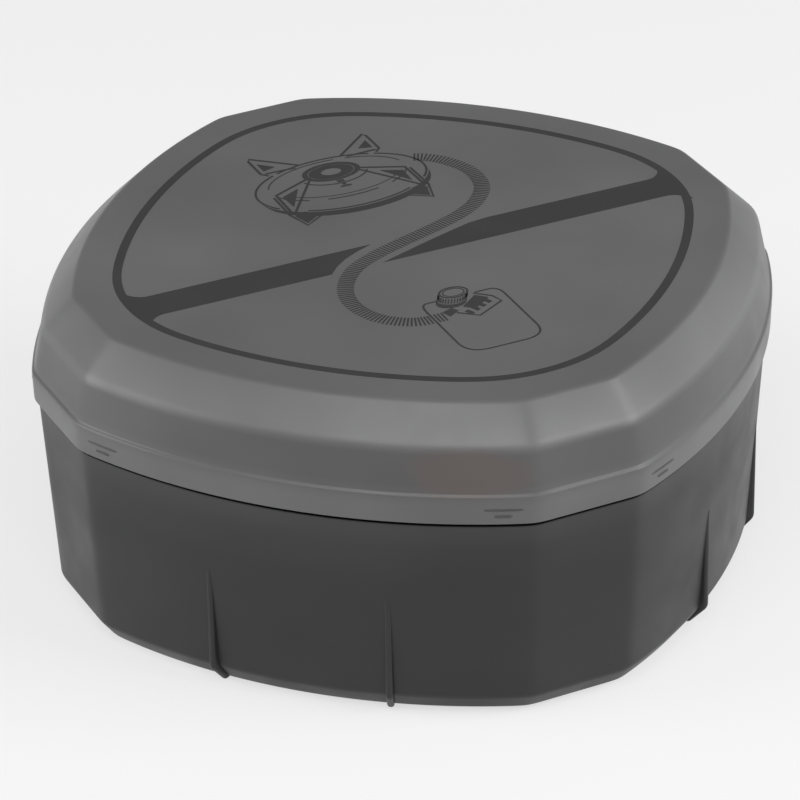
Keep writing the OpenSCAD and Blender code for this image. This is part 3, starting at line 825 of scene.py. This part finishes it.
@dataclass
class LidPrint:
    """The dark print on the lid: a ring, a band across, and a simple drawing of what is inside.

    It is drawn on a page that is turned about the middle of the lid, x along the band, and each
    line or area gets a hair's thickness.
    """

    plan: Outline
    top_z: float = 113.0
    page_deg: float = 43.8
    ring_side: float = 91.2
    ring_soft_deg: float = 14.0
    ring_width: float = 3.0
    band_low: float = -11.2
    band_high: float = 2.3
    hose_width: float = 5.6
    tick: float = 0.62
    tick_pitch: float = 1.25
    shape: Shape = field(default_factory=Shape)

    def ink(self, left: Array, right: Array, closed: bool, proud: float = 0.05) -> None:
        """Adds the ink between two lines, as a row of box sections.

        Args:
            left: Page points of one side.
            right: As many page points of the other side.
            closed: True where its end joins its start.
            proud: Height of the ink.
        """
        low, high = self.top_z - INK_DEEP, self.top_z + proud
        ends = [(left, low), (right, low), (right, high), (left, high)]
        rings = [np.column_stack([self.turned(line), np.full(len(line), z)]) for line, z in ends]
        self.shape.add_rings(np.stack(rings, axis=1), closed)

    def turned(self, page: Array) -> Array:
        """Page points in the lid's own plane: turned by page_deg about the middle."""
        a = math.radians(self.page_deg)
        return page @ np.array([[math.cos(a), math.sin(a)], [-math.sin(a), math.cos(a)]])

    def stroke(self, path: Array, width: float, closed: bool = False, proud: float = 0.05) -> None:
        """Adds a line of ink, half its width to each side of a path.

        Args:
            path: Page points of its middle line.
            width: Its width.
            closed: True where its end joins its start.
            proud: Height of the ink.
        """
        ahead, behind = np.roll(path, -1, axis=0), np.roll(path, 1, axis=0)
        if not closed:
            ahead[-1], behind[0] = path[-1], path[0]
        way = ahead - behind
        way = way / np.linalg.norm(way, axis=1, keepdims=True)
        aside = np.stack([-way[:, 1], way[:, 0]], axis=1) * width / 2
        self.ink(path - aside, path + aside, closed, proud)

    def area(self, outline: Array, proud: float = 0.05) -> None:
        """Adds a filled area.

        Args:
            outline: Page points all round it.
            proud: Height of the ink.
        """
        count = len(outline)
        flat = self.turned(outline)
        low = np.column_stack([flat, np.full(count, self.top_z - INK_DEEP)])
        high = np.column_stack([flat, np.full(count, self.top_z + proud)])
        sides = [[i, (i + 1) % count, count + (i + 1) % count, count + i] for i in range(count)]
        caps = [list(range(count))[::-1], [count + i for i in range(count)]]
        self.shape.add(np.vstack([low, high]), sides + caps)

    @staticmethod
    def oval(
        middle: tuple[float, float],
        half: tuple[float, float],
        start_deg: float = 0.0,
        end_deg: float = 355.0,
        count: int = 72,
    ) -> Array:
        """Points of an ellipse, middle + (half[0] cos a, half[1] sin a).

        Args:
            middle: Its middle.
            half: Its half sizes.
            start_deg: Angle a of the first point.
            end_deg: Angle a of the last point.
            count: Number of points.

        Returns:
            The points.
        """
        a = np.radians(np.linspace(start_deg, end_deg, count))
        return np.array(middle) + np.column_stack([half[0] * np.cos(a), half[1] * np.sin(a)])

    def ring(self) -> None:
        """Adds the ring that follows the lid's outline with softer corners.

        Its radius in each direction is the outline's, averaged over ring_soft_deg to each side
        with the weight 1 + cos(180 offset / ring_soft_deg).
        """
        azimuth = np.radians(np.arange(0.0, 360.0, 1.5))
        offset = np.linspace(-1.0, 1.0, 41)
        weight = (1 + np.cos(math.pi * offset)) / np.sum(1 + np.cos(math.pi * offset))
        around = azimuth[:, None] + math.radians(self.ring_soft_deg) * offset
        reach = self.plan.radius(around, self.ring_side) @ weight
        azimuth = azimuth - math.radians(self.page_deg)
        path = np.column_stack([reach * np.cos(azimuth), reach * np.sin(azimuth)])
        self.stroke(path, self.ring_width, closed=True, proud=0.06)

    def band(self) -> None:
        """Adds the band from corner to corner, cut away round the hose and flared at the ring."""
        t = np.linspace(0.0, 1.0, 9)
        flare = np.column_stack([91.0 + 8.6 * t, 6.2 * t**3])
        high, low = self.band_high, self.band_low
        right = [(-14.0, low), (4.7, -4.6), (17.0, -0.6), (24.0, 1.5), (31.0, high)]
        left = [(-12.0, high), (-18.0, -0.2), (-24.0, -3.4), (-29.0, -7.4), (-32.5, low)]
        up, down = flare + (0.0, high), flare * (1, -1) + (0.0, low)
        self.area(np.vstack([right, up, down[::-1]]))
        self.area(np.vstack([left[::-1], up * (-1, 1), (down * (-1, 1))[::-1]]))

    def hose(self) -> None:
        """Adds the hose as short strokes across a smooth path."""
        bends = np.array(
            [(28.8, 54), (32.6, 51.8), (37.6, 46), (41.5, 36), (40, 24), (33, 14.5), (23, 8),
             (10, 3), (-2, -1), (-14, -5.5), (-25, -12), (-33, -23), (-35, -35), (-31, -46),
             (-22, -53), (-12, -54)],
            float,
        )
        path = smooth_path(bends, self.tick_pitch)
        way = np.gradient(path, axis=0)
        way /= np.linalg.norm(way, axis=1, keepdims=True)
        reach = np.stack([-way[:, 1], way[:, 0]], axis=1) * self.hose_width / 2
        for middle, half in zip(path, reach):
            self.stroke(np.array([middle - half, middle + half]), self.tick)

    def mirrored(self, path: Sequence[tuple[float, float]], hand: int) -> Array:
        """Points about the drawn stove's middle line, on its right (1) or its left (-1)."""
        return np.array(path, float) * (hand, 1) + (-1.5, 0.0)

    def stove(self) -> None:
        """Adds the drawn stove: a dish, a ring burner and four pot supports."""
        across = -1.5
        for start, end in ((-30, 52), (56, 124), (128, 209), (232, 308)):
            self.stroke(self.oval((across, 48.5), (31, 18.5), start, end, 28), 0.8)
        low = self.oval((across, 44.0), (30.6, 18.3), 188, 352, 40)
        high = self.oval((across, 47.7), (31.5, 18.8), 188, 352, 40)
        self.ink(high, low, False, 0.07)
        for half, width, start, end in (
            ((25.2, 13.8), 0.6, 196, 232),
            ((25.2, 13.8), 0.6, 248, 292),
            ((25.2, 13.8), 0.6, 308, 344),
            ((25.2, 13.8), 0.5, 12, 70),
            ((25.2, 13.8), 0.5, 80, 168),
            ((22.6, 11.8), 0.4, 200, 340),
        ):
            self.stroke(self.oval((across, 51.5), half, start, end, 40), width, proud=0.058)
        ring = [self.oval((across, 57.0), half) for half in ((10.6, 6.5), (8.6, 5.2))]
        self.ink(ring[0], ring[1], True, 0.062)
        ring = [self.oval((across, 57.0), half) for half in ((8.2, 4.9), (3.7, 2.4))]
        self.ink(ring[0], ring[1], True, 0.062)
        self.stroke(self.oval((across, 56.0), (12.6, 8.2), 200, 340, 36), 0.6, proud=0.066)
        signs = np.array([(-1, -1), (1, -1), (1, 1), (-1, 1)]) / 2
        for middle, sides in (
            ((-1.4, 49.3), (2.6, 1.6)),
            ((-1.2, 46.9), (1.2, 1.7)),
            ((-1.2, 45.2), (4.0, 1.0)),
        ):
            self.area(np.array(middle) + signs * sides, 0.074)
        for hand in (-1, 1):
            back = [(8.0, 66.6), (21.6, 78.4), (22.4, 76.8), (22.4, 66.0), (20.4, 63.8)]
            self.stroke(self.mirrored(back, hand), 0.9, proud=0.078)
            self.stroke(self.mirrored([(9.8, 65.2), (20.8, 65.6)], hand), 0.9, proud=0.082)
            self.area(self.mirrored([(15.8, 69.0), (20.6, 73.6), (20.6, 67.6)], hand), 0.078)
            front = [(8.4, 56.2), (24.2, 49.0), (24.6, 34.0)]
            self.stroke(self.mirrored(front, hand), 1.0, proud=0.086)
            self.stroke(self.mirrored([(9.4, 54.2), (23.4, 34.6)], hand), 0.9, proud=0.09)
            self.area(self.mirrored([(15.4, 50.4), (22.6, 46.9), (22.2, 38.6)], hand), 0.086)
            leg = [(25.6, 47.6), (25.9, 33.6), (23.4, 24.4), (16.6, 28.8), (20.6, 33.6)]
            self.stroke(self.mirrored(leg, hand), 0.8, proud=0.094)
            toe = [(22.8, 25.8), (18.0, 29.0), (21.4, 33.0), (24.6, 32.2)]
            self.area(self.mirrored(toe, hand), 0.09)

    def valve(self) -> None:
        """Adds the drawn valve and knob on the outline of a gas cartridge."""
        corners = np.array([(4.2, -43.5), (12.6, -43.5), (12.6, -79.5), (-15.8, -79.5),
                            (-15.8, -43.5), (-9.6, -43.5)])
        self.stroke(rounded(corners, [5.0, 8.0, 8.0, 5.0], 9), 0.7, proud=0.056)
        shift = np.array((-3.4, -5.6))
        top = (-2.2, -40.4)
        self.stroke(self.oval(top, (4.9, 3.4), 0, 351, 40), 0.7, closed=True, proud=0.07)
        self.stroke(self.oval(top, (3.7, 2.5), 0, 351, 40), 0.4, closed=True, proud=0.062)
        for start in self.oval(top, (5.0, 3.5), 150, 345, 17):
            self.stroke(np.array([start + 0.16 * shift, start + 0.62 * shift]), 0.5, proud=0.064)
        under = self.oval(top, (5.2, 3.7), 140, 350, 24)
        self.ink(under + 0.68 * shift, under + 1.05 * shift, False, 0.067)
        block = [(3.4, -43.8), (8.2, -48.2), (9.4, -52.6), (-1.2, -58.4), (-7.2, -53.4)]
        self.stroke(np.array(block, float), 0.7, proud=0.066)
        shade = [(1.4, -46.6), (3.2, -45.2), (6.6, -48.6), (-0.4, -53.6), (-3.6, -50.6)]
        self.area(np.array(shade), 0.07)
        for k in range(4):
            foot = np.array((-2.6 + 2.8 * k, -56.4 + 1.5 * k))
            self.stroke(np.array([foot, foot + (-1.2, 2.9)]), 1.7, proud=0.075)
        inlet = [(-11.4, -51.2), (-7.4, -49.8), (-6.0, -52.4), (-10.2, -54.8)]
        self.area(np.array(inlet), 0.06)

    def build(self, shelf: Shelf) -> Piece:
        """Draws it all and makes one thin piece of ink that rides with the lid."""
        self.ring()
        self.band()
        self.hose()
        self.stove()
        self.valve()
        piece = self.shape.piece("lid_print", shelf.of(Finish.INK))
        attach(piece, "lid")
        return piece


# ---- the stove -------------------------------------------------------------------------


@dataclass
class GasHose:
    """The ribbed rubber hose, coiled once round the case between the stove and the valve."""

    outer: float = 4.5
    depth: float = 0.55
    pitch: float = 3.0
    skin: float = 0.1
    plain_start: float = 14.0
    plain_end: float = 9.0
    sides: int = 20
    step: float = 0.375
    route: tuple[tuple[float, float, float], ...] = (
        (57.7, 32, 13), (55.7, 39.3, 13), (53.8, 46.5, 13), (51, 57, 13), (47, 68, 12.5),
        (40, 80.5, 11.5), (28, 92.5, 10), (12, 100, 9), (-6, 101.5, 8.6), (-24, 98.5, 8.6),
        (-41, 92.5, 8.6), (-58, 83, 8.6), (-73, 70.5, 8.6), (-86, 53.5, 8.6), (-95.5, 34.5, 8.6),
        (-100.5, 14, 8.6), (-101, -7, 8.6), (-97.5, -28, 9), (-90, -47, 11.5), (-79.5, -63, 17.5),
        (-66, -77, 26.5), (-50, -88.5, 36.5), (-32, -97, 46), (-14, -101.2, 52.4),
        (0, -101.2, 54.7), (14.3, -98.1, 55), (22.5, -95.9, 55), (29.8, -94, 55),
    )

    def build(self, shelf: Shelf) -> Piece:
        """The radius at a way s along the route is
        outer - skin - depth (1 - cos(2 pi s / pitch)) / 2, without its last term for plain_start
        and plain_end millimetres at the ends, where the hose is clamped.
        """
        path = smooth_path(np.array(self.route, float), self.step)
        length = self.step * (len(path) - 1)
        way = np.gradient(path, axis=0)
        way /= np.linalg.norm(way, axis=1, keepdims=True)
        side = np.cross(way, (0.0, 0.0, 1.0))
        side /= np.linalg.norm(side, axis=1, keepdims=True)
        over = np.cross(side, way)
        s = np.arange(len(path)) * self.step
        inside = np.minimum(s - self.plain_start, length - self.plain_end - s)
        ribbed = np.clip(inside / self.pitch, 0.0, 1.0)
        groove = 0.5 - 0.5 * np.cos(2 * math.pi * s / self.pitch)
        radius = self.outer - self.skin - self.depth * ribbed * groove
        a = np.arange(self.sides) * 2 * math.pi / self.sides
        rings = path[:, None] + radius[:, None, None] * (
            np.cos(a)[None, :, None] * side[:, None] + np.sin(a)[None, :, None] * over[:, None]
        )
        shape = Shape()
        shape.add_rings(rings)
        piece = shape.piece("ribbed_hose", shelf.of(Finish.HOSE), 60.0)
        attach(piece, "stove")
        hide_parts("gas_hose")
        return piece


@dataclass
class StoveParts:
    """Every CAD node that stays as it is, in the finish that the record names for it."""

    nodes: dict[str, Piece]

    def build(self, shelf: Shelf) -> int:
        """Gives each node the material of its slot and counts them."""
        count = 0
        for node in self.nodes.values():
            for place in node.material_slots:
                slot = place.material.name.split(".")[0]
                if slot in shelf.made:
                    place.material = shelf.slot(slot)
                    count += 1
        return count


# ---- the studio ------------------------------------------------------------------------


@dataclass(frozen=True)
class SoftBox:
    """A large soft light that faces the case."""

    name: str
    at: tuple[float, float, float]
    size: tuple[float, float]
    watts: float
    colour: tuple[float, float, float] = (1.0, 1.0, 1.0)

    def build(self) -> None:
        """Hangs the light and turns it to the middle of the case."""
        lamp = bpy.data.lights.new(self.name, "AREA")
        lamp.shape = "RECTANGLE"
        lamp.size, lamp.size_y = self.size
        lamp.energy = self.watts
        lamp.color = self.colour
        holder = bpy.data.objects.new(self.name, lamp)
        holder.location = self.at
        facing = Vector((0.0, 0.0, LAMP_TARGET_Z)) - Vector(self.at)
        holder.rotation_euler = facing.to_track_quat("-Z", "Y").to_euler()
        bpy.context.scene.collection.objects.link(holder)


@dataclass(frozen=True)
class Viewpoint:
    """The camera: how far round and above the case it stands, and its long lens."""

    azimuth_deg: float = 18.81
    elevation_deg: float = 29.6
    roll_deg: float = -0.918
    look_z: float = 54.9
    distance: float = 1566.9
    lens: float = 207.3
    shift: tuple[float, float] = (-0.0108, -0.0114)

    def build(self) -> None:
        """Stands the camera where its axis meets the upright through the middle of the case."""
        az, el, roll = (
            math.radians(v) for v in (self.azimuth_deg, self.elevation_deg, self.roll_deg)
        )
        ahead = Vector((-math.sin(az) * math.cos(el), math.cos(az) * math.cos(el), -math.sin(el)))
        right = Vector((math.cos(az), math.sin(az), 0.0))
        up = right.cross(ahead)
        rolled = right * math.cos(roll) + up * math.sin(roll)
        over = up * math.cos(roll) - right * math.sin(roll)
        lens = bpy.data.cameras.new("camera")
        lens.lens, lens.sensor_width = self.lens, 36.0
        lens.shift_x, lens.shift_y = self.shift
        lens.clip_end = 20.0
        camera = bpy.data.objects.new("camera", lens)
        turn = Matrix((rolled, over, -ahead)).transposed().to_4x4()
        place = Vector((0.0, 0.0, self.look_z * MM)) - ahead * self.distance * MM
        camera.matrix_world = Matrix.Translation(place) @ turn
        bpy.context.scene.collection.objects.link(camera)
        bpy.context.scene.camera = camera


@dataclass
class Studio:
    """Pale paper floor, soft boxes and a pale room."""

    floor_half: float = 4.0
    room: float = 0.31
    paper: Paper = Paper("paper", 0.25, 0.64)
    boxes: tuple[SoftBox, ...] = (
        SoftBox("soft_box_front", (0.1, -1.0, 1.3), (1.1, 0.8), 10.5),
        SoftBox("soft_box_left", (-1.25, -0.65, 0.55), (0.9, 1.0), 11.5),
        SoftBox("soft_box_right", (1.35, 0.05, 0.85), (0.9, 0.9), 17.5),
        SoftBox("soft_box_far_right", (1.1, 1.1, 0.5), (0.7, 0.6), 1.5),
    )

    def build(self) -> None:
        """Lays the floor, hangs the lights and sets the room's light."""
        half = self.floor_half
        mesh = bpy.data.meshes.new("paper_floor")
        corners = [(-half, -half, 0), (half, -half, 0), (half, half, 0), (-half, half, 0)]
        mesh.from_pydata(corners, [], [(0, 1, 2, 3)])
        mesh.materials.append(self.paper.build())
        floor = bpy.data.objects.new("paper_floor", mesh)
        bpy.context.scene.collection.objects.link(floor)
        for box in self.boxes:
            box.build()
        world = bpy.data.worlds.new("room")
        world.use_nodes = True
        back = world.node_tree.nodes["Background"]
        back.inputs["Color"].default_value = (1.0, 1.0, 1.0, 1.0)
        back.inputs["Strength"].default_value = self.room
        bpy.context.scene.world = world
        bpy.context.scene.view_settings.view_transform = "Standard"


def main() -> None:
    """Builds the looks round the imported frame, piece by piece."""
    logging.basicConfig(level=logging.INFO, format="%(message)s")
    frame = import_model()
    Viewpoint().build()
    shelf = Shelf()
    plan = Outline()
    built = [GasHose().build(shelf), CaseBase(plan).build(shelf)]
    built += [*CaseLid(plan).build(shelf), LidPrint(plan).build(shelf)]
    for piece in built:
        LOG.info("%s: %d faces", piece.name, len(piece.data.polygons))
    LOG.info("%d node slots dressed", StoveParts(frame["nodes"]).build(shelf))
    Studio().build()


if __name__ == "__main__":
    main()
